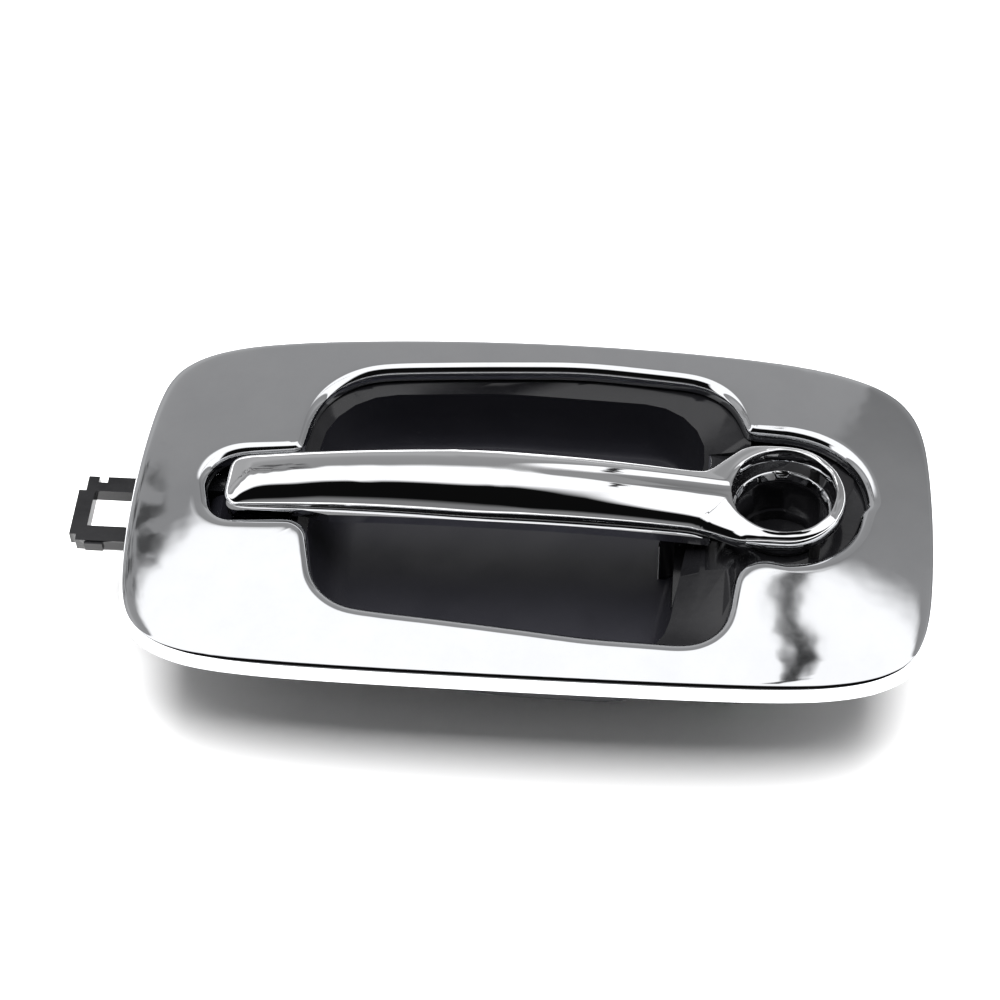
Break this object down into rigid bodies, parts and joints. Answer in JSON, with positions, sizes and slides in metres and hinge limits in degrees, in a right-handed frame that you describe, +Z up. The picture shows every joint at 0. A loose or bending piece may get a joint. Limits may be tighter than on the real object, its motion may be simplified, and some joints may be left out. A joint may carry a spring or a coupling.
{
  "type": "car door handle",
  "caption": "Exterior car door pull handle with a chrome bezel and ringed grip around a lock opening, on a black base with finger bowl, hinge and bell crank.",
  "frame": {"origin": "middle of the two mounting studs, on the outer face of the door skin", "axes": "+X along the handle from the hinge towards the lock, +Z up, -Y out of the door"},
  "size_m": [0.2348, 0.0565, 0.1176],
  "materials": {
    "chrome": "mirror chrome plating",
    "gloss_black": "gloss moulded",
    "matte_black": "fine grained moulding",
    "steel": "zinc plated",
    "rubber": "matt",
    "foam": "closed cell foam",
    "nylon": "natural nylon",
    "clip_green": "moulded"
  },
  "bodies": {
    "base": {"bezel": "chrome", "bowl_surround": "gloss_black", "hand_cup": "matte_black", "base_frame": "gloss_black", "lock_collar": "chrome", "lock_seal": "rubber", "lock_clip": "steel", "hinge_pin": "steel", "hinge_clip": "steel", "leg_guide": "nylon", "bump_stops": "rubber", "crank_pin": "steel", "crank_clip": "steel", "mounting_studs": "steel", "door_gasket": "foam", "bezel_screws": "steel"},
    "grip": {"grip_shell": "chrome", "grip_back": "chrome", "grip_screws": "steel", "hinge_arm": "matte_black", "hinge_bushes": "nylon", "pull_leg": "matte_black"},
    "crank": {"bell_crank": "steel", "crank_bushes": "nylon", "crank_spring": "steel", "rod_clip": "clip_green"}
  },
  "joints": [
    {"name": "grip_pull", "type": "hinge", "parent": "base", "child": "grip", "pos_m": [-0.084, 0.008, 0.032], "axis": [0, 0, -1], "range_deg": [0, 10], "stiffness_Nm_per_rad": 2, "springref_deg": -20.05},
    {"name": "crank_turn", "type": "hinge", "parent": "base", "child": "crank", "pos_m": [0.05125, 0.017, 0.0094], "axis": [1, 0, 0], "range_deg": [0, 54.5], "deforming": ["crank_spring"]}
  ],
  "couplings": [
    {"joint": "crank_turn", "follows": "grip_pull", "ratio": 5.4}
  ]
}
